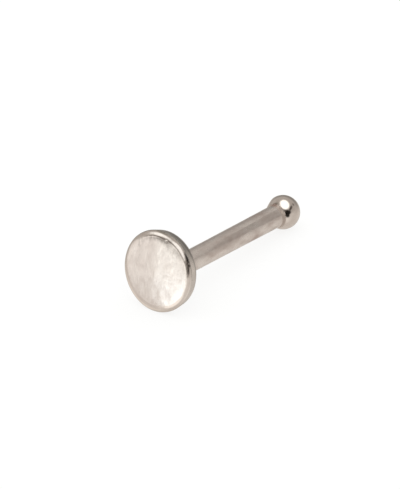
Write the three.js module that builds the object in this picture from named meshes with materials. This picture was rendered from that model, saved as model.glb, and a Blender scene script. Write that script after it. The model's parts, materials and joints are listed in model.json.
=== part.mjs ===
// A nose stud of the straight kind that jewellers call a nose bone, lying on its side.
// A flat round head, a round post and a small ball end are soldered and fused into one piece of
// metal, so the stud is one solid. The post runs along +Y, head first. Millimetres, +Z up.
import * as THREE from 'three';

// Head: a round flat disc, a little wider at its face than at its back.
const headDiameter = 2.96;
const headBackDiameter = 2.84;
const headThickness = 0.48;
const faceRound = 0.27; // the face rounds over in an oval that reaches this far in from the rim
const faceRoundDepth = 0.17; // and this far back
const backEdgeRadius = 0.06;

// Post: 20 gauge round wire, a little thicker at the ball than at the head.
const postDiameter = 0.78;
const postEndDiameter = 0.82;
const solderRadius = 0.2; // hollow fillet of solder around the foot of the post

// Ball end: its centre stands this far from the back of the head.
const ballDiameter = 1.25;
const ballReach = 7.22;
const neckRadius = 0.05; // hollow fillet between the post and the ball

// The head was soldered on by hand: off the post's axis, and leaning to it, a little sideways.
const headOffset = 0.22;
const headLean = THREE.MathUtils.degToRad(7.6);
const leanTurn = THREE.MathUtils.degToRad(10); // from the way it is off the axis to the way it leans

// Facets around the stud, and the steps that each rounding is divided into.
const sides = 64;
const edgeSteps = 6;
const filletSteps = 4;
const ballSteps = 20;

const postRadius = postDiameter / 2;
const postEndRadius = postEndDiameter / 2;
const ballRadius = ballDiameter / 2;
const footRadius = postRadius + solderRadius;

const silver = new THREE.MeshStandardMaterial({ color: 0xd8d0c8, roughness: 0.28, metalness: 1 });

// Points on part of an oval in the outline's plane: x is the distance from the axis, y runs along it.
function oval(centreX, centreY, halfWidth, halfDepth, startAngle, endAngle, steps) {
  const points = [];
  for (let i = 0; i <= steps; i++) {
    const angle = startAngle + ((endAngle - startAngle) * i) / steps;
    const x = centreX + halfWidth * Math.cos(angle);
    points.push(new THREE.Vector2(x, centreY + halfDepth * Math.sin(angle)));
  }
  return points;
}

// The same on a circle.
function arc(centreX, centreY, radius, startAngle, endAngle, steps) {
  return oval(centreX, centreY, radius, radius, startAngle, endAngle, steps);
}

// The head's outline, from the middle of its face round the rim to its back at y = 0.
function headOutline() {
  const faceMiddle = new THREE.Vector2(0, -headThickness);
  const roundX = headDiameter / 2 - faceRound;
  const roundY = faceRoundDepth - headThickness;
  const backEdgeX = headBackDiameter / 2 - backEdgeRadius;
  return [
    faceMiddle,
    ...oval(roundX, roundY, faceRound, faceRoundDepth, -Math.PI / 2, 0, edgeSteps),
    ...arc(backEdgeX, -backEdgeRadius, backEdgeRadius, 0, Math.PI / 2, filletSteps),
  ];
}

// The solder's outline, from the back of the head up to the post.
function solderOutline() {
  return arc(footRadius, solderRadius, solderRadius, -Math.PI / 2, -Math.PI, filletSteps);
}

// The ball's outline, with the hollow neck that meets the post, out to the tip on the axis.
function ballOutline() {
  const neckX = postEndRadius + neckRadius;
  const neckReach = ballRadius + neckRadius;
  const neckAngle = Math.acos(neckX / neckReach);
  const neckY = ballReach - neckReach * Math.sin(neckAngle);
  const neck = arc(neckX, neckY, neckRadius, Math.PI, Math.PI - neckAngle, filletSteps);
  const ball = arc(0, ballReach, ballRadius, -neckAngle, Math.PI / 2, ballSteps);
  ball[ballSteps].x = 0;
  return [...neck, ...ball.slice(1)];
}

// The head's rings move off the post's axis. All below the solder's top leans, and the solder
// itself leans less and less on its way up, so that it runs smoothly into the post.
function setHeadByHand(geometry) {
  const position = geometry.attributes.position;
  const point = new THREE.Vector3();
  const leanAxis = new THREE.Vector3(Math.cos(leanTurn), 0, Math.sin(leanTurn));
  const backOutsideFoot = footRadius + backEdgeRadius;
  for (let i = 0; i < position.count; i++) {
    point.fromBufferAttribute(position, i);
    const inHead = point.y < 0 || Math.hypot(point.x, point.z) > backOutsideFoot;
    const share = THREE.MathUtils.clamp(1 - point.y / solderRadius, 0, 1);
    if (inHead) point.z += headOffset;
    point.applyAxisAngle(leanAxis, -headLean * share);
    position.setXYZ(i, point.x, point.y, point.z);
  }
  return geometry;
}

// The lowest height of some points once they are turned about X.
function lowestHeight(points, turn) {
  const heights = points.map((point) => point.y * Math.sin(turn) + point.z * Math.cos(turn));
  return Math.min(...heights);
}

// The turn about X at which the rim of the head and the ball end lie equally low.
function restingTurn(geometry) {
  const position = geometry.attributes.position;
  const points = [];
  for (let i = 0; i < position.count; i++) {
    points.push(new THREE.Vector3().fromBufferAttribute(position, i));
  }
  const head = points.filter((point) => point.y < ballReach / 2);
  const ball = points.filter((point) => point.y > ballReach / 2);
  const passes = 20;
  let turn = 0;
  for (let pass = 0; pass < passes; pass++) {
    turn -= (lowestHeight(ball, turn) - lowestHeight(head, turn)) / ballReach;
  }
  return turn;
}

function makeStud() {
  const outline = [...headOutline(), ...solderOutline(), ...ballOutline()];
  const flatDown = Math.PI / sides; // a flat of the rim and of the ball lies underneath
  const geometry = setHeadByHand(new THREE.LatheGeometry(outline, sides, flatDown));
  const stud = new THREE.Mesh(geometry, silver);
  stud.name = 'nose_stud';
  stud.rotation.x = restingTurn(geometry);
  return stud;
}

// The origin is under the middle of the stud, on the surface that it lies on.
function layOnSurface(stud) {
  const box = new THREE.Box3().setFromObject(stud, true);
  const middle = box.getCenter(new THREE.Vector3());
  stud.position.set(-middle.x, -middle.y, -box.min.z);
}

const stud = makeStud();
layOnSurface(stud);

const group = new THREE.Group();
group.add(stud);

export default group;
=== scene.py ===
# A silver nose stud lying on a pale table in soft studio light
import bpy
import json
import math
from mathutils import Matrix, Vector, noise


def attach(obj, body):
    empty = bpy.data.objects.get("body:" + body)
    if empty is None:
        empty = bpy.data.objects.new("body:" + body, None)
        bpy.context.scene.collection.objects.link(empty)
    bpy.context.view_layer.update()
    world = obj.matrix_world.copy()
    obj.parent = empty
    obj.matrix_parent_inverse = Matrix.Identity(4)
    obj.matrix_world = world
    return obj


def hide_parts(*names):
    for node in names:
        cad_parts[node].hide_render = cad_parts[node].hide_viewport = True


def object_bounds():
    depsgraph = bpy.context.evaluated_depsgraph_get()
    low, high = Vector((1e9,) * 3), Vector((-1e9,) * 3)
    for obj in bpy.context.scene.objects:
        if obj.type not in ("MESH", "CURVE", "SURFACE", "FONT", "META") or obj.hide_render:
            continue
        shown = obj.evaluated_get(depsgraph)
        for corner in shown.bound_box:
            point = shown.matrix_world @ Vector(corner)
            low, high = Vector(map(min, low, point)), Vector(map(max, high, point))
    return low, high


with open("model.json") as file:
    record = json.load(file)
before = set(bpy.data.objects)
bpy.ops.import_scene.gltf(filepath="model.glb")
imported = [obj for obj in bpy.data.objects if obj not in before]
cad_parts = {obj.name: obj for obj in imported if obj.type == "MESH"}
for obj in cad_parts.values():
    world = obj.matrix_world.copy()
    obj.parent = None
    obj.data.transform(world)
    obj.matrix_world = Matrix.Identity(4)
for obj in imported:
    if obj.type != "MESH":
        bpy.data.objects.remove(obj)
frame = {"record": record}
cadLow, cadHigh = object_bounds()
mounts = {m["name"]: m for m in frame["record"]["mounts"]}
mm = 0.001
micron = 0.000001
print("frame loaded", tuple(round(v / mm, 2) for v in cadHigh - cadLow), "mm")


def namedRows(columns, rows):
    return [dict(zip(columns, row)) for row in rows]


# the stud: head, solder, post and ball end in one piece of silver
stud = {
    "headDiameter": 2.96 * mm,
    "headBackDiameter": 2.84 * mm,
    "headThickness": 0.48 * mm,
    "faceEdge": 0.17 * mm,  # depth of the oval that rounds the face over
    "faceRound": 0.27 * mm,  # and its half width
    "faceRoll": 0.24 * mm,  # the face begins to dip this far before the oval
    "rollSlope": math.radians(4),
    "wornSlope": math.radians(42),  # the oval is worn dull from here
    "cornerSlope": math.radians(48),  # the oval ends here, in a small corner to the side
    "cornerRadius": 0.02 * mm,
    "backEdge": 0.06 * mm,
    "postDiameter": 0.78 * mm,
    "postEndDiameter": 0.82 * mm,
    "solderRadius": 0.2 * mm,
    "neckRadius": 0.12 * mm,
    "ballDiameter": 1.25 * mm,
    "ballReach": 7.22 * mm,  # back of the head to the middle of the ball
    "headOffset": 0.22 * mm,  # the head sits this far off the post's axis
    "headLean": math.radians(7.6),
    "leanTurn": math.radians(10),  # and leans a little sideways
    "sides": 240,
}

# how many steps each stretch of the outline is divided into
steps = {
    "face": 50,
    "roll": 12,
    "rim": 22,
    "worn": 4,
    "corner": 6,
    "side": 12,
    "backEdge": 8,
    "back": 10,
    "solder": 16,
    "post": 80,
    "neck": 6,
    "ball": 64,
}

footRadius = stud["postDiameter"] / 2 + stud["solderRadius"]
flatBackRadius = stud["headBackDiameter"] / 2 - stud["backEdge"]
ballRadius = stud["ballDiameter"] / 2


def findPostTurn():
    # how far the post dips from the head to the ball, found from the way the head faces
    inward = -Vector(mounts["head_face"]["axis"]).normalized()
    headTurn = math.atan(math.tan(stud["headLean"]) * math.cos(stud["leanTurn"]))
    return math.atan2(-inward.z, inward.y) - headTurn


postTurn = findPostTurn()


def lean(share):
    axis = Vector((math.cos(stud["leanTurn"]), 0, math.sin(stud["leanTurn"])))
    return Matrix.Rotation(-stud["headLean"] * share, 3, axis)


def footPoint():
    # where the post's axis meets the head's back
    faceMiddle = lean(1) @ Vector((0, -stud["headThickness"], stud["headOffset"]))
    return Vector(mounts["head_face"]["pos_m"]) - Matrix.Rotation(-postTurn, 3, "X") @ faceMiddle


def besidePost(along, around, radius):
    # a place near the post, in the turned frame whose Y runs along it
    foot = Matrix.Rotation(postTurn, 3, "X") @ footPoint()
    return foot + Vector((radius * math.sin(around), along, radius * math.cos(around)))


# the outline: how far out from the post's axis, and how far along it from the back of the head

def arcPoints(centreX, centreY, radius, start, end, count, depth=None):
    # with a depth it is part of an oval, as wide as the radius and that deep
    points = []
    for i in range(count + 1):
        angle = start + (end - start) * i / count
        points.append((centreX + radius * math.cos(angle), centreY + (depth or radius) * math.sin(angle)))
    return points


def linePoints(start, end, count):
    # only the points between the two ends
    return [
        (start[0] + (end[0] - start[0]) * i / count, start[1] + (end[1] - start[1]) * i / count)
        for i in range(1, count)
    ]


def headFront():
    # the flat face dips a little, runs down an oval and ends in a small corner to the side
    wide, deep, roll, corner = (stud[key] for key in ("faceRound", "faceEdge", "faceRoll", "cornerRadius"))
    start, wornStart, end = (
        -math.atan2(deep, wide * math.tan(stud[key])) for key in ("rollSlope", "wornSlope", "cornerSlope")
    )
    front = -stud["headThickness"]
    rollDip = math.tan(stud["rollSlope"]) * roll / 2
    cornerRun = corner * (1 - math.sin(stud["cornerSlope"]))
    ovalX = stud["headDiameter"] / 2 - cornerRun - wide * math.cos(end)
    ovalY = front + rollDip - deep * math.sin(start)
    rollStart = ovalX + wide * math.cos(start) - roll
    face = linePoints((0, front), (rollStart, front), steps["face"])
    for i in range(steps["roll"]):
        share = i / steps["roll"]
        face.append((rollStart + roll * share, front + rollDip * share * share))
    rim = arcPoints(ovalX, ovalY, wide, start, wornStart, steps["rim"], deep)
    shoulder = arcPoints(ovalX, ovalY, wide, wornStart, end, steps["worn"], deep)[1:]
    cornerX = stud["headDiameter"] / 2 - corner
    cornerY = shoulder[-1][1] + corner * math.cos(stud["cornerSlope"])
    turned = arcPoints(cornerX, cornerY, corner, stud["cornerSlope"] - math.pi / 2, 0, steps["corner"])
    return face, rim, shoulder + turned[1:]


def headBack(frontEnd):
    # the side and the back of the head, and the solder up to the post
    edge = arcPoints(flatBackRadius, -stud["backEdge"], stud["backEdge"], 0, math.pi / 2, steps["backEdge"])
    fillet = stud["solderRadius"]
    solder = arcPoints(footRadius, fillet, fillet, -math.pi / 2, -math.pi, steps["solder"])
    side = linePoints(frontEnd, edge[0], steps["side"])
    return side + edge + linePoints(edge[-1], solder[0], steps["back"]) + solder


def postAndBall(solderEnd):
    hollow = stud["neckRadius"]
    neckX = stud["postEndDiameter"] / 2 + hollow
    angle = math.acos(neckX / (ballRadius + hollow))
    neckY = stud["ballReach"] - (ballRadius + hollow) * math.sin(angle)
    neck = arcPoints(neckX, neckY, hollow, math.pi, math.pi - angle, steps["neck"])
    ball = arcPoints(0, stud["ballReach"], ballRadius, -angle, math.pi / 2, steps["ball"])[1:-1]
    return linePoints(solderEnd, neck[0], steps["post"]), neck, ball


def studOutline():
    # (radius, height, finish) from the middle of the face round to the tip of the ball
    face, rim, shoulder = headFront()
    wall = headBack(shoulder[-1])
    post, neck, ball = postAndBall(wall[-1])
    stretches = {
        "face": face, "rim": rim, "shoulder": shoulder, "wall": wall,
        "post": post, "neck": neck, "ball": ball,
    }
    return [(x, y, name) for name, points in stretches.items() for x, y in points]


# the face was filed by hand: flats that fall away from one point, with strokes of their own
# direction and height. All angles are in degrees, clockwise from the top.
filing = {
    "meet": (-0.04 * mm, -0.18 * mm),
    "flats": [
        {"towards": 198, "fall": 3.4, "strokes": 70, "height": 1.8 * micron},
        {"towards": 120, "fall": 2.9, "strokes": 96, "height": 1.0 * micron},
        {"towards": 72, "fall": 2.6, "strokes": 10, "height": 1.3 * micron},
        {"towards": 284, "fall": 2.9, "strokes": -8, "height": 2.6 * micron},
    ],
    "ridge": 7.5 * micron,  # how far the ridges between the flats are rubbed down
    "crown": 33.0 * micron,  # the meeting point stands this far proud
    "wander": 0.09 * mm,  # how far their borders stray
    "wanderSize": 0.45 * mm,
    "wanderSeed": 9.0,
    "strokeLength": 0.34 * mm,
    "strokeWidth": 0.10 * mm,
    "strokeSeed": 3.7,
    "fade": 0.6,  # the share of the rounded edge over which the filing dies away
}


def filedDepth(across, up):
    # the flats make a low pyramid whose ridges are rubbed soft
    near = Vector((across, up, 0)) / filing["wanderSize"]
    x = across - filing["meet"][0] + filing["wander"] * noise.noise(near)
    z = up - filing["meet"][1] + filing["wander"] * noise.noise(near + Vector((0, 0, filing["wanderSeed"])))
    total = 0.0
    strokes = 0.0
    for i, flat in enumerate(filing["flats"]):
        angle = math.radians(flat["towards"])
        drop = (x * math.sin(angle) + z * math.cos(angle)) * math.tan(math.radians(flat["fall"]))
        weight = math.exp(drop / filing["ridge"])
        total += weight
        angle = math.radians(flat["strokes"])
        along = (x * math.sin(angle) + z * math.cos(angle)) / filing["strokeLength"]
        aside = (x * math.cos(angle) - z * math.sin(angle)) / filing["strokeWidth"]
        strokes += weight * flat["height"] * noise.noise(Vector((along, aside, filing["strokeSeed"] * i)))
    low = filing["ridge"] * math.log(total / len(filing["flats"])) - filing["crown"]
    return low + strokes / total


# two small nicks in the edge of the face, then three shallow dents in its flat: where they are
# from the middle of the head, half their width and height, and how deep they are
nicks = namedRows(("across", "up", "width", "height", "depth"), [
    (0.27 * mm, 1.215 * mm, 0.05 * mm, 0.05 * mm, 6.0 * micron),
    (1.28 * mm, 0.62 * mm, 0.05 * mm, 0.05 * mm, 4.0 * micron),
    (0.50 * mm, 0.01 * mm, 0.12 * mm, 0.04 * mm, 1.4 * micron),
    (0.66 * mm, -0.22 * mm, 0.10 * mm, 0.04 * mm, 1.6 * micron),
    (1.00 * mm, 0.03 * mm, 0.10 * mm, 0.04 * mm, 1.2 * micron),
])


def nickDepth(across, up):
    depth = 0.0
    for nick in nicks:
        aside = (across - nick["across"]) / nick["width"]
        above = (up - nick["up"]) / nick["height"]
        depth += nick["depth"] * math.exp(-aside * aside - above * above)
    return depth


# the melted ball is flat in one place: which way it faces, how far it is from the ball's middle,
# and how soft its border is
ballFlat = {"towards": (-0.837, -0.357, 0.416), "reach": 0.6 * mm, "soft": 0.02 * mm}

# the post is rubbed flat in two: degrees round it from the top, how deep, how soft, and where along
# it the flat has none and all of its depth. One dies away from the head, the other runs to the ball.
postFlats = [
    {"towards": 35, "depth": 13 * micron, "soft": 3 * micron, "none": 3.1 * mm, "full": 2.0 * mm},
    {"towards": 43, "depth": 3.5 * micron, "soft": 2 * micron, "none": 2.6 * mm, "full": 3.8 * mm},
]


def pressedIn(over, soft):
    # how far a point that stands over a flat is pressed back to it, with a soft border
    return soft * math.log(1 + math.exp(over / soft))


def rubFlat(point):
    middle = Vector((0, stud["ballReach"], 0))
    if (point - middle).length < ballRadius + micron:
        towards = Vector(ballFlat["towards"]).normalized()
        over = (point - middle).dot(towards) - ballFlat["reach"]
        return point - towards * pressedIn(over, ballFlat["soft"])
    for flat in postFlats:
        turn = math.radians(flat["towards"])
        towards = Vector((math.sin(turn), 0, math.cos(turn)))
        share = min(max((point.y - flat["none"]) / (flat["full"] - flat["none"]), 0.0), 1.0)
        over = point.dot(towards) - stud["postDiameter"] / 2 + flat["depth"]
        point = point - towards * pressedIn(over, flat["soft"]) * share
    return point


def setByHand(point, radius):
    # the head's rings move off the post's axis, and everything below the solder's top leans
    if point.y < -micron:
        shift = 1.0
    elif point.y < micron:
        shift = min(max((radius - footRadius) / (flatBackRadius - footRadius), 0.0), 1.0)
    else:
        shift = 0.0
    share = min(max(1 - point.y / stud["solderRadius"], 0.0), 1.0)
    point.z += stud["headOffset"] * shift
    return lean(share) @ point


def ringPoint(x, y, angle):
    # a point of the outline in its place round the stud, with all that the hand did to it
    point = Vector((x * math.sin(angle), y, x * math.cos(angle)))
    fade = filing["fade"] * stud["faceEdge"]
    filedEnd = -stud["headThickness"] + fade
    if y < filedEnd:
        point.y += filedDepth(point.x, point.z) * min((filedEnd - y) / fade, 1.0)
    if y < 0:
        point.y += nickDepth(point.x, point.z)
    elif y > stud["solderRadius"]:
        point = rubFlat(point)
    return setByHand(point, x)


# slow unevenness left by the hand: size across, height, and a seed of its own
headUnevenness = [(0.60 * mm, 3.0 * micron, 5.7), (0.22 * mm, 0.6 * micron, 1.9)]
unevenness = {
    "face": [(0.55 * mm, 1.6 * micron, 3.1), (0.17 * mm, 0.5 * micron, 8.4)],
    "rim": headUnevenness,
    "shoulder": headUnevenness,
    "wall": headUnevenness,
    "neck": [(0.75 * mm, 3.5 * micron, 2.3)],
    "post": [(0.75 * mm, 3.5 * micron, 2.3), (0.25 * mm, 0.8 * micron, 6.6)],
    "ball": [(0.55 * mm, 3.0 * micron, 7.2), (0.20 * mm, 0.5 * micron, 4.5)],
}


def addUnevenness(mesh, pointFinish):
    moved = []
    for vertex, name in zip(mesh.vertices, pointFinish):
        push = 0.0
        for size, height, seed in unevenness[name]:
            push += height * noise.noise(vertex.co / size + Vector((seed, 0, 0)))
        moved.append(vertex.co + vertex.normal * push)
    for vertex, place in zip(mesh.vertices, moved):
        vertex.co = place
    mesh.update()


def studFaces(outline):
    # a fan round the middle of the face, bands from ring to ring, and a fan round the ball's tip
    sides = stud["sides"]
    last = 1 + (len(outline) - 1) * sides
    faces, names = [], []
    for i in range(sides):
        faces.append((0, 1 + (i + 1) % sides, 1 + i))
        names.append("face")
    for ring in range(len(outline) - 1):
        for i in range(sides):
            a = 1 + ring * sides + i
            b = 1 + ring * sides + (i + 1) % sides
            faces.append((a, b, b + sides, a + sides))
            names.append(outline[ring + 1][2])
    for i in range(sides):
        faces.append((last + i, last + (i + 1) % sides, last + sides))
        names.append("ball")
    return faces, names


def buildStud(materials):
    outline = studOutline()
    sides = stud["sides"]
    points = [ringPoint(0.0, -stud["headThickness"], 0.0)]
    for x, y, name in outline:
        points += [ringPoint(x, y, 2 * math.pi * (i + 0.5) / sides) for i in range(sides)]
    points.append(Vector((0, stud["ballReach"] + ballRadius, 0)))
    faces, names = studFaces(outline)
    mesh = bpy.data.meshes.new("noseStudSurface")
    mesh.from_pydata([tuple(p) for p in points], [], faces)
    mesh.update()
    order = list(materials)
    for material in materials.values():
        mesh.materials.append(material)
    for polygon, name in zip(mesh.polygons, names):
        polygon.material_index = order.index(name)
        polygon.use_smooth = True
    ringFinish = [name for x, y, name in outline for i in range(sides)]
    addUnevenness(mesh, ["face", *ringFinish, "ball"])
    return mesh


def placeStud(materials):
    mesh = buildStud(materials)
    mesh.transform(Matrix.Translation(footPoint()) @ Matrix.Rotation(-postTurn, 4, "X"))
    piece = bpy.data.objects.new("nose_stud_surface", mesh)
    bpy.context.scene.collection.objects.link(piece)
    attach(piece, "root")
    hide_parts("nose_stud")
    return piece


# node helpers: an input takes a plain value or another node's output

def setInputs(node, values):
    for name, value in values.items():
        if isinstance(value, bpy.types.NodeSocket):
            node.id_data.links.new(value, node.inputs[name])
        else:
            node.inputs[name].default_value = value


def addNode(tree, kind, x, y, values=None, **settings):
    node = tree.nodes.new(kind)
    node.location = (x, y)
    for name, value in settings.items():
        setattr(node, name, value)
    setInputs(node, values or {})
    return node


def calculate(tree, operation, x, y, *values, clamp=False):
    numbers = dict(enumerate(values))
    return addNode(tree, "ShaderNodeMath", x, y, numbers, operation=operation, use_clamp=clamp).outputs[0]


def remap(tree, x, y, value, start, end, low, high, kind="SMOOTHSTEP"):
    # low up to the start, high from the end on
    values = {"Value": value, "From Min": start, "From Max": end, "To Min": low, "To Max": high}
    return addNode(tree, "ShaderNodeMapRange", x, y, values, interpolation_type=kind).outputs["Result"]


def noiseTexture(tree, x, y, place, scale, detail, roughness=0.5):
    values = {"Vector": place, "Scale": scale, "Detail": detail, "Roughness": roughness}
    return addNode(tree, "ShaderNodeTexNoise", x, y, values).outputs["Fac"]


def newGroup(name, inputs, outputs):
    tree = bpy.data.node_groups.new(name, "ShaderNodeTree")
    for label, kind, start in inputs:
        socket = tree.interface.new_socket(label, in_out="INPUT", socket_type=kind)
        socket.default_value = start
    for label, kind in outputs:
        tree.interface.new_socket(label, in_out="OUTPUT", socket_type=kind)
    return tree


# what all the finishes share
silver = {
    "colour": (0.885, 0.815, 0.755, 1),
    "tarnishColour": (0.50, 0.39, 0.34, 1),
    "tarnishScale": 2200.0,
    "tarnishEdge": (0.38, 0.70),  # the part of the noise over which a speck sets in
    "cornerReach": 0.09 * mm,  # how far tarnish spreads from the two corners of the post
    "topReach": (2.1 * mm, 2.6 * mm),  # heights where the painted shade on the head's top sets in, and is full
    "hairlineTurn": (0.3, 0.5, 0.9),
    "hairlineScale": (60000.0, 1500.0, 1500.0),
    "hairlineCrest": (0.62, 0.72),  # the part of the noise that makes a line
}

# a dark spot at the neck: how far along the post, the angle round it from the top, how far it
# reaches, and the part of that which it covers fully
neckSpot = {"along": 6.74 * mm, "around": math.radians(-8), "reach": 0.15 * mm, "core": 0.045 * mm}


def hairlines(tree, along, amount):
    # a very long noise, of which only the thin crests count
    values = {"Vector": along, "Rotation": silver["hairlineTurn"], "Scale": silver["hairlineScale"]}
    slanted = addNode(tree, "ShaderNodeMapping", -1200, 600, values).outputs[0]
    long = noiseTexture(tree, -900, 600, slanted, 1.0, 1.0)
    crest = remap(tree, -650, 600, long, *silver["hairlineCrest"], 0.0, -1.0)
    return calculate(tree, "MULTIPLY", -450, 600, crest, amount)


def cornerTarnish(tree, along, amount):
    # in the solder at the head's back and in the neck at the ball
    ballStart = stud["ballReach"] - math.sqrt(stud["ballDiameter"] ** 2 - stud["postEndDiameter"] ** 2) / 2
    middle = besidePost(ballStart / 2, 0, 0).y
    split = addNode(tree, "ShaderNodeSeparateXYZ", -1200, -600, {0: along})
    fromMiddle = calculate(tree, "SUBTRACT", -1000, -600, split.outputs["Y"], middle)
    reach = calculate(tree, "ABSOLUTE", -850, -600, fromMiddle)
    past = calculate(tree, "SUBTRACT", -700, -600, reach, ballStart / 2)
    gap = calculate(tree, "ABSOLUTE", -550, -600, past)
    corner = remap(tree, -400, -600, gap, 0.0, silver["cornerReach"], 1.0, 0.0)
    return calculate(tree, "MULTIPLY", -200, -600, corner, amount)


# painted shade on the head's top: the higher a point stands, the darker it is, added to the corner tarnish
def paintedTopShade(tree, place, amount, elsewhere):
    split = addNode(tree, "ShaderNodeSeparateXYZ", -1200, -850, {0: place})
    top = remap(tree, -1000, -850, split.outputs["Z"], *silver["topReach"], 0.0, 1.0)
    return calculate(tree, "MULTIPLY_ADD", -200, -850, top, amount, elsewhere)


def neckSpotMask(tree, along):
    spotPlace = besidePost(neckSpot["along"], neckSpot["around"], stud["postEndDiameter"] / 2)
    away = addNode(tree, "ShaderNodeVectorMath", -900, -450, {0: along, 1: spotPlace}, operation="DISTANCE")
    return remap(tree, -650, -450, away.outputs["Value"], neckSpot["core"], neckSpot["reach"], 1.0, 0.0)


def silverFinishGroup():
    # grain, broad patches, hairlines, tarnish and painted shade
    tree = newGroup(
        "silverFinish",
        [
            ("Stretch", "NodeSocketVector", (1.0, 1.0, 1.0)),
            ("Grain Scale", "NodeSocketFloat", 20000.0),
            ("Patch Scale", "NodeSocketFloat", 1500.0),
            ("Patch Height", "NodeSocketFloat", 1.0),
            ("Roughness", "NodeSocketFloat", 0.2),
            ("Roughness Change", "NodeSocketFloat", 0.05),
            ("Hairlines", "NodeSocketFloat", 0.0),
            ("Tarnish", "NodeSocketFloat", 0.1),
            ("Corner Tarnish", "NodeSocketFloat", 0.0),
            ("Painted Top Shade", "NodeSocketFloat", 0.0),
            ("Silver", "NodeSocketColor", silver["colour"]),
            ("Tarnished And Shaded Silver", "NodeSocketColor", silver["tarnishColour"]),
        ],
        [
            ("Color", "NodeSocketColor"),
            ("Roughness", "NodeSocketFloat"),
            ("Height", "NodeSocketFloat"),
        ],
    )
    given = addNode(tree, "NodeGroupInput", -1600, 0).outputs
    place = addNode(tree, "ShaderNodeTexCoord", -1600, 300).outputs["Object"]
    turned = {"Vector": place, "Angle": postTurn}  # so that Y runs along the post
    along = addNode(tree, "ShaderNodeVectorRotate", -1400, 300, turned, rotation_type="X_AXIS").outputs[0]
    both = {0: along, 1: given["Stretch"]}
    stretched = addNode(tree, "ShaderNodeVectorMath", -1200, 200, both, operation="MULTIPLY").outputs[0]
    grain = noiseTexture(tree, -900, 350, stretched, given["Grain Scale"], 4.0, 0.6)
    patches = noiseTexture(tree, -900, 100, stretched, given["Patch Scale"], 2.0)

    # tarnish in specks all over and more in the corners, painted shade on the head's top, and the dark spot
    # at the neck
    specks = noiseTexture(tree, -900, -250, stretched, silver["tarnishScale"], 4.0, 0.6)
    speckMask = remap(tree, -650, -250, specks, *silver["tarnishEdge"], 0.0, 1.0, "LINEAR")
    cornerTarnishAndTopShade = cornerTarnish(tree, along, given["Corner Tarnish"])
    cornerTarnishAndTopShade = paintedTopShade(tree, place, given["Painted Top Shade"], cornerTarnishAndTopShade)
    tarnishAndShade = calculate(tree, "MULTIPLY_ADD", -450, -250, speckMask, given["Tarnish"], cornerTarnishAndTopShade, clamp=True)
    dull = calculate(tree, "ADD", -250, -250, tarnishAndShade, neckSpotMask(tree, along), clamp=True)
    colour = addNode(tree, "ShaderNodeMix", 100, -250, {
        "Factor": dull, "A": given["Silver"], "B": given["Tarnished And Shaded Silver"],
    }, data_type="RGBA")

    # grain, patches and tarnish all change the roughness
    texture = calculate(tree, "ADD", -450, 100, grain, patches)
    centred = calculate(tree, "SUBTRACT", -250, 100, texture, 1.0)
    dulled = calculate(tree, "ADD", -100, 0, centred, dull)
    change = calculate(tree, "MULTIPLY", 50, 100, dulled, given["Roughness Change"])
    rough = calculate(tree, "ADD", 250, 100, given["Roughness"], change, clamp=True)

    broad = calculate(tree, "MULTIPLY", -250, 350, patches, given["Patch Height"])
    uneven = calculate(tree, "ADD", -50, 350, grain, broad)
    height = calculate(tree, "ADD", 150, 450, uneven, hairlines(tree, along, given["Hairlines"]))
    addNode(tree, "NodeGroupOutput", 900, 0, {
        "Color": colour.outputs["Result"], "Roughness": rough, "Height": height,
    })
    return tree


# each stretch of the outline has a finish of its own: its material's name, the depth of its bump,
# and what it changes in the shared group
faceColour = (0.965, 0.90, 0.845, 1)
# the colour of the wall's and shoulder's tarnish, and of the painted shade on the head's top
tarnishAndTopShadeColour = (0.24, 0.235, 0.215, 1)
finishes = {
    "face": ("filedFace", 1.5 * micron, {
        "Stretch": (1.0, 1.0, 0.45), "Grain Scale": 16000.0, "Patch Scale": 4200.0, "Patch Height": 1.6,
        "Roughness": 0.17, "Roughness Change": 0.14, "Hairlines": 0.3, "Tarnish": 0.25,
        "Silver": faceColour,
    }),
    "rim": ("polishedRim", 0.8 * micron, {
        "Grain Scale": 16000.0, "Patch Scale": 2600.0, "Patch Height": 1.2,
        "Roughness": 0.12, "Roughness Change": 0.08, "Hairlines": 0.2, "Tarnish": 0.22,
        "Corner Tarnish": 0.5,
    }),
    # the shoulder is rubbed dull, and its silver is darkened all round as painted shade; on top it also gets
    # the painted top shade
    "shoulder": ("rubbedShadedShoulder", 1.0 * micron, {
        "Grain Scale": 20000.0, "Patch Scale": 4000.0, "Patch Height": 1.2,
        "Roughness": 0.18, "Roughness Change": 0.5, "Hairlines": 0.1, "Tarnish": 0.1,
        "Painted Top Shade": 0.75, "Silver": (0.76, 0.70, 0.645, 1), "Tarnished And Shaded Silver": tarnishAndTopShadeColour,
    }),
    "wall": ("cutWall", 1.2 * micron, {
        "Stretch": (1.0, 0.3, 1.0), "Grain Scale": 24000.0, "Patch Scale": 6000.0, "Patch Height": 1.2,
        "Roughness": 0.28, "Roughness Change": 0.10, "Hairlines": 0.1, "Tarnish": 0.25,
        # the top of the wall is darkened with painted shade
        "Corner Tarnish": 0.5, "Painted Top Shade": 0.25,
        "Silver": (0.84, 0.775, 0.715, 1), "Tarnished And Shaded Silver": tarnishAndTopShadeColour,
    }),
    "post": ("drawnPost", 1.5 * micron, {
        "Stretch": (1.0, 0.4, 1.0), "Grain Scale": 10000.0, "Patch Scale": 4500.0, "Patch Height": 1.8,
        "Roughness": 0.28, "Roughness Change": 0.20, "Hairlines": 0.3, "Tarnish": 0.75,
        "Corner Tarnish": 0.6, "Silver": faceColour,
    }),
    # the silver in the neck's hollow is darkened as painted shade, on top of its tarnish
    "neck": ("shadedNeckCorner", 1.0 * micron, {
        "Grain Scale": 20000.0, "Patch Scale": 4000.0,
        "Roughness": 0.62, "Roughness Change": 0.10, "Tarnish": 0.4, "Corner Tarnish": 0.1,
        "Silver": (0.75, 0.675, 0.615, 1),
    }),
    "ball": ("meltedBall", 0.8 * micron, {
        "Grain Scale": 12000.0, "Patch Scale": 2600.0, "Patch Height": 1.5,
        "Roughness": 0.09, "Roughness Change": 0.07, "Hairlines": 0.15, "Tarnish": 0.25,
        "Corner Tarnish": 0.2,
    }),
}


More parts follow.
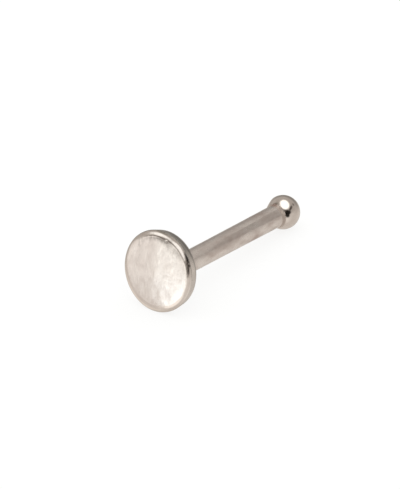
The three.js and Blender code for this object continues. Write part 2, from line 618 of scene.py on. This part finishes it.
def silverMaterial(group, name, bumpDepth, values):
    material = bpy.data.materials.new(name)
    material.use_nodes = True
    tree = material.node_tree
    tree.nodes.clear()
    finish = addNode(tree, "ShaderNodeGroup", -200, 0, values, node_tree=group)
    bump = addNode(tree, "ShaderNodeBump", 50, -200, {
        "Strength": 1.0, "Distance": bumpDepth, "Height": finish.outputs["Height"],
    })
    shader = addNode(tree, "ShaderNodeBsdfPrincipled", 300, 0, {
        "Metallic": 1.0, "Base Color": finish.outputs["Color"], "Roughness": finish.outputs["Roughness"],
        "Normal": bump.outputs["Normal"],
    })
    addNode(tree, "ShaderNodeOutputMaterial", 600, 0, {"Surface": shader.outputs["BSDF"]})
    return material


silverFinish = silverFinishGroup()
materials = {name: silverMaterial(silverFinish, *finish) for name, finish in finishes.items()}
print("finishes made,", ", ".join(material.name for material in materials.values()))

studPiece = placeStud(materials)
print("stud built,", len(studPiece.data.polygons), "faces")


# the table, the light and the camera
studio = {
    "floorRadius": 0.6,
    "floorSides": 128,
    "floorColour": (0.93, 0.93, 0.925),
    "floorGlow": 0.8,  # share of the table's brightness that is its own, so shadows stay faint
    "skyStrength": 1.1,
    "azimuth": 36.35,
    "elevation": 28.0,
    "distance": 0.2,
    "lens": 413.26,
    "sensorWidth": 36,
    "clip": (0.01, 3),
    "aimRight": -0.8416 * mm,  # the camera aims this far beside the stud's middle
    "aimUp": -0.5274 * mm,
}

# what the silver mirrors between the cards, from straight down to straight up
surround = [
    (-90, (0.62, 0.585, 0.55)),
    (-20, (0.60, 0.565, 0.53)),
    (2, (0.55, 0.52, 0.49)),
    (18, (0.45, 0.422, 0.395)),
    (90, (0.45, 0.418, 0.39)),
]

# oval cards round the stud, lit boxes and dark flags, each in front of those above it in the list:
# where they stand, half their width and height, their tilt, all in degrees, and how soft they end.
# Azimuth 0 is before the face, and the camera sees the lower azimuths on its left.
cards = namedRows(("azimuth", "elevation", "width", "height", "tilt", "edge", "colour"), [
    # grey boards low down and round the sides, and one lit strip
    (-66, -36, 34, 15, 0, 0.5, (0.80, 0.755, 0.705)),
    (-38, -17, 32, 18, 0, 0.35, (0.66, 0.62, 0.59)),
    (-4, -9, 8, 7, 0, 0.6, (0.72, 0.68, 0.64)),
    (-54, -4.5, 19.5, 6.7, 0, 0.35, (1.03, 1.005, 0.98)),
    (45, -26, 34, 22, 0, 0.6, (0.8, 0.77, 0.735)),
    (164, -30, 22, 16, 0, 0.6, (0.65, 0.615, 0.58)),
    (95, 0, 20, 8, 0, 0.6, (0.62, 0.585, 0.55)),
    (-95, 8, 34, 24, 0, 0.6, (0.46, 0.435, 0.41)),
    # darker boards behind the stud
    (-158, 8, 38, 18, 0, 0.6, (0.265, 0.25, 0.235)),
    (150, 29, 7, 6, 0, 0.6, (0.16, 0.143, 0.131)),
    # small lit boxes, low before the face
    (-21, -22, 10, 9, 0, 0.5, (1.12, 1.085, 1.03)),
    (-23.3, -7.5, 11.8, 7, 12, 0.3, (1.10, 1.09, 1.05)),
    (-26, -13, 6.5, 4.5, 0, 0.4, (1.38, 1.46, 1.50)),
    # dark boards on the left, and two lit boxes in front of them
    (-62, 10.5, 30, 8, -14, 0.4, (0.46, 0.43, 0.40)),
    (-33, 2.6, 14.5, 5.9, 5, 0.4, (0.19, 0.172, 0.155)),
    (-57, 52, 18, 11, 0, 0.5, (0.28, 0.265, 0.235)),
    (-42, 26, 17, 14, -8, 0.35, (1.16, 1.17, 1.15)),
    (-12, 20, 9, 17, -25, 0.25, (1.14, 1.15, 1.14)),
    # flags from before the face round to the right, the darkest near the camera
    (-12, 0, 8, 4.5, 25, 0.5, (0.22, 0.20, 0.18)),
    (5, 11, 14, 7, 36, 0.5, (0.17, 0.145, 0.125)),
    (0.5, 4.6, 11, 4.2, 30, 0.4, (0.045, 0.037, 0.031)),
    (18.5, 25.5, 19, 9, 36, 0.3, (0.012, 0.01, 0.009)),
    (62, 40, 15, 17, 0, 0.5, (0.09, 0.075, 0.065)),
    (69.5, 18, 24, 15, 10, 0.3, (0.01, 0.008, 0.007)),
    (69, 1, 11, 11, -10, 0.5, (0.02, 0.017, 0.015)),
    (107, 35, 20, 7, 12, 0.5, (0.07, 0.06, 0.052)),
    # the lamp overhead
    (90, 77, 35, 27, 57, 0.2, (1.45, 1.45, 1.42)),
])


def direction(azimuth, elevation):
    a, e = math.radians(azimuth), math.radians(elevation)
    return Vector((math.sin(a) * math.cos(e), -math.cos(a) * math.cos(e), math.sin(e)))


def makeFloor():
    bpy.ops.mesh.primitive_circle_add(
        vertices=studio["floorSides"], radius=studio["floorRadius"], fill_type="NGON"
    )
    floor = bpy.context.object
    floor.name = "table"
    floor.location.z = cadLow.z
    material = bpy.data.materials.new("paleTable")
    material.use_nodes = True
    glow = studio["floorGlow"]
    lit = tuple(c * (1 - glow) for c in studio["floorColour"])
    setInputs(material.node_tree.nodes["Principled BSDF"], {
        "Base Color": (*lit, 1), "Roughness": 0.9, "Specular IOR Level": 0.0,
        "Emission Color": (*studio["floorColour"], 1), "Emission Strength": glow * studio["skyStrength"],
    })
    floor.data.materials.append(material)
    floor.visible_glossy = False  # the silver mirrors the cards below instead


def cardGroup():
    # lays one oval card, with a soft edge, over what is behind it
    tree = newGroup(
        "studioCard",
        [
            ("Towards", "NodeSocketVector", (0.0, 0.0, 1.0)),
            ("Across", "NodeSocketVector", (1.0, 0.0, 0.0)),
            ("Upwards", "NodeSocketVector", (0.0, 1.0, 0.0)),
            ("Edge", "NodeSocketFloat", 0.2),
            ("Behind", "NodeSocketColor", (0.5, 0.5, 0.5, 1)),
            ("Card", "NodeSocketColor", (1, 1, 1, 1)),
        ],
        [("Color", "NodeSocketColor")],
    )
    given = addNode(tree, "NodeGroupInput", -900, 0).outputs
    place = addNode(tree, "ShaderNodeTexCoord", -900, 300).outputs["Generated"]
    dots = []
    for i, label in enumerate(["Towards", "Across", "Upwards"]):
        pair = {0: place, 1: given[label]}
        dot = addNode(tree, "ShaderNodeVectorMath", -650, 300 - 200 * i, pair, operation="DOT_PRODUCT")
        dots.append(dot.outputs["Value"])
    towards, across, upwards = dots
    flat = addNode(tree, "ShaderNodeCombineXYZ", -450, 0, {"X": across, "Y": upwards}).outputs[0]
    reach = addNode(tree, "ShaderNodeVectorMath", -250, 0, {0: flat}, operation="LENGTH").outputs["Value"]
    inner = calculate(tree, "SUBTRACT", -250, -200, 1.0, given["Edge"])
    outer = calculate(tree, "ADD", -250, -350, 1.0, given["Edge"])
    oval = remap(tree, 0, 0, reach, inner, outer, 1.0, 0.0)
    ahead = calculate(tree, "GREATER_THAN", 0, 300, towards, 0.0)
    mask = calculate(tree, "MULTIPLY", 200, 100, oval, ahead)
    mix = addNode(tree, "ShaderNodeMix", 450, 0, {
        "Factor": mask, "A": given["Behind"], "B": given["Card"],
    }, data_type="RGBA")
    addNode(tree, "NodeGroupOutput", 700, 0, {"Color": mix.outputs["Result"]})
    return tree


def placeCard(tree, group, card, behind, x):
    a, e, t = (math.radians(card[key]) for key in ("azimuth", "elevation", "tilt"))
    right = Vector((math.cos(a), math.sin(a), 0))
    up = Vector((-math.sin(a) * math.sin(e), math.cos(a) * math.sin(e), math.cos(e)))
    return addNode(tree, "ShaderNodeGroup", x, 0, {
        "Towards": direction(card["azimuth"], card["elevation"]),
        "Across": (right * math.cos(t) + up * math.sin(t)) / math.sin(math.radians(card["width"])),
        "Upwards": (up * math.cos(t) - right * math.sin(t)) / math.sin(math.radians(card["height"])),
        "Edge": card["edge"],
        "Behind": behind,
        "Card": (*card["colour"], 1),
    }, node_tree=group).outputs["Color"]


def surroundRamp(tree):
    # the ramp runs over the height of the direction, from straight down to straight up
    place = addNode(tree, "ShaderNodeTexCoord", -1600, 0).outputs["Generated"]
    split = addNode(tree, "ShaderNodeSeparateXYZ", -1400, 0, {0: place})
    height = remap(tree, -1200, 0, split.outputs["Z"], -1.0, 1.0, 0.0, 1.0, "LINEAR")
    ramp = addNode(tree, "ShaderNodeValToRGB", -1000, 0, {"Fac": height})
    stops = ramp.color_ramp.elements
    heights = [(math.sin(math.radians(elevation)) + 1) / 2 for elevation, colour in surround]
    for position in heights[1:-1]:
        stops.new(position)
    for stop, position, (elevation, colour) in zip(stops, heights, surround):
        stop.position = position
        stop.color = (*colour, 1)
    return ramp.outputs["Color"]


def makeWorld():
    # only the silver sees the cards: all else is lit by an even white
    world = bpy.data.worlds.new("studio")
    bpy.context.scene.world = world
    world.use_nodes = True
    tree = world.node_tree
    tree.nodes.clear()
    colour = surroundRamp(tree)
    group = cardGroup()
    for i, card in enumerate(cards):
        colour = placeCard(tree, group, card, colour, -700 + 200 * i)
    end = -700 + 200 * len(cards)
    mirrored = addNode(tree, "ShaderNodeBackground", end, 0, {"Color": colour})
    even = {"Color": (1, 1, 1, 1), "Strength": studio["skyStrength"]}
    plain = addNode(tree, "ShaderNodeBackground", end, -200, even)
    path = addNode(tree, "ShaderNodeLightPath", end, 400)
    choose = addNode(tree, "ShaderNodeMixShader", end + 250, 0, {
        0: path.outputs["Is Glossy Ray"], 1: plain.outputs[0], 2: mirrored.outputs[0],
    })
    addNode(tree, "ShaderNodeOutputWorld", end + 500, 0, {"Surface": choose.outputs[0]})


def makeCamera():
    back = direction(studio["azimuth"], studio["elevation"])
    turn = math.radians(studio["azimuth"])
    right = Vector((math.cos(turn), math.sin(turn), 0))
    up = back.cross(right)
    aim = (cadLow + cadHigh) / 2 + right * studio["aimRight"] + up * studio["aimUp"]
    data = bpy.data.cameras.new("camera")
    camera = bpy.data.objects.new("camera", data)
    bpy.context.scene.collection.objects.link(camera)
    data.lens = studio["lens"]
    data.sensor_width = studio["sensorWidth"]
    data.clip_start, data.clip_end = studio["clip"]
    camera.location = aim + back * studio["distance"]
    camera.rotation_euler = (-back).to_track_quat("-Z", "Y").to_euler()
    bpy.context.scene.camera = camera


makeFloor()
makeWorld()
makeCamera()
bpy.context.scene.view_settings.view_transform = "Standard"
print("table, studio and camera ready")
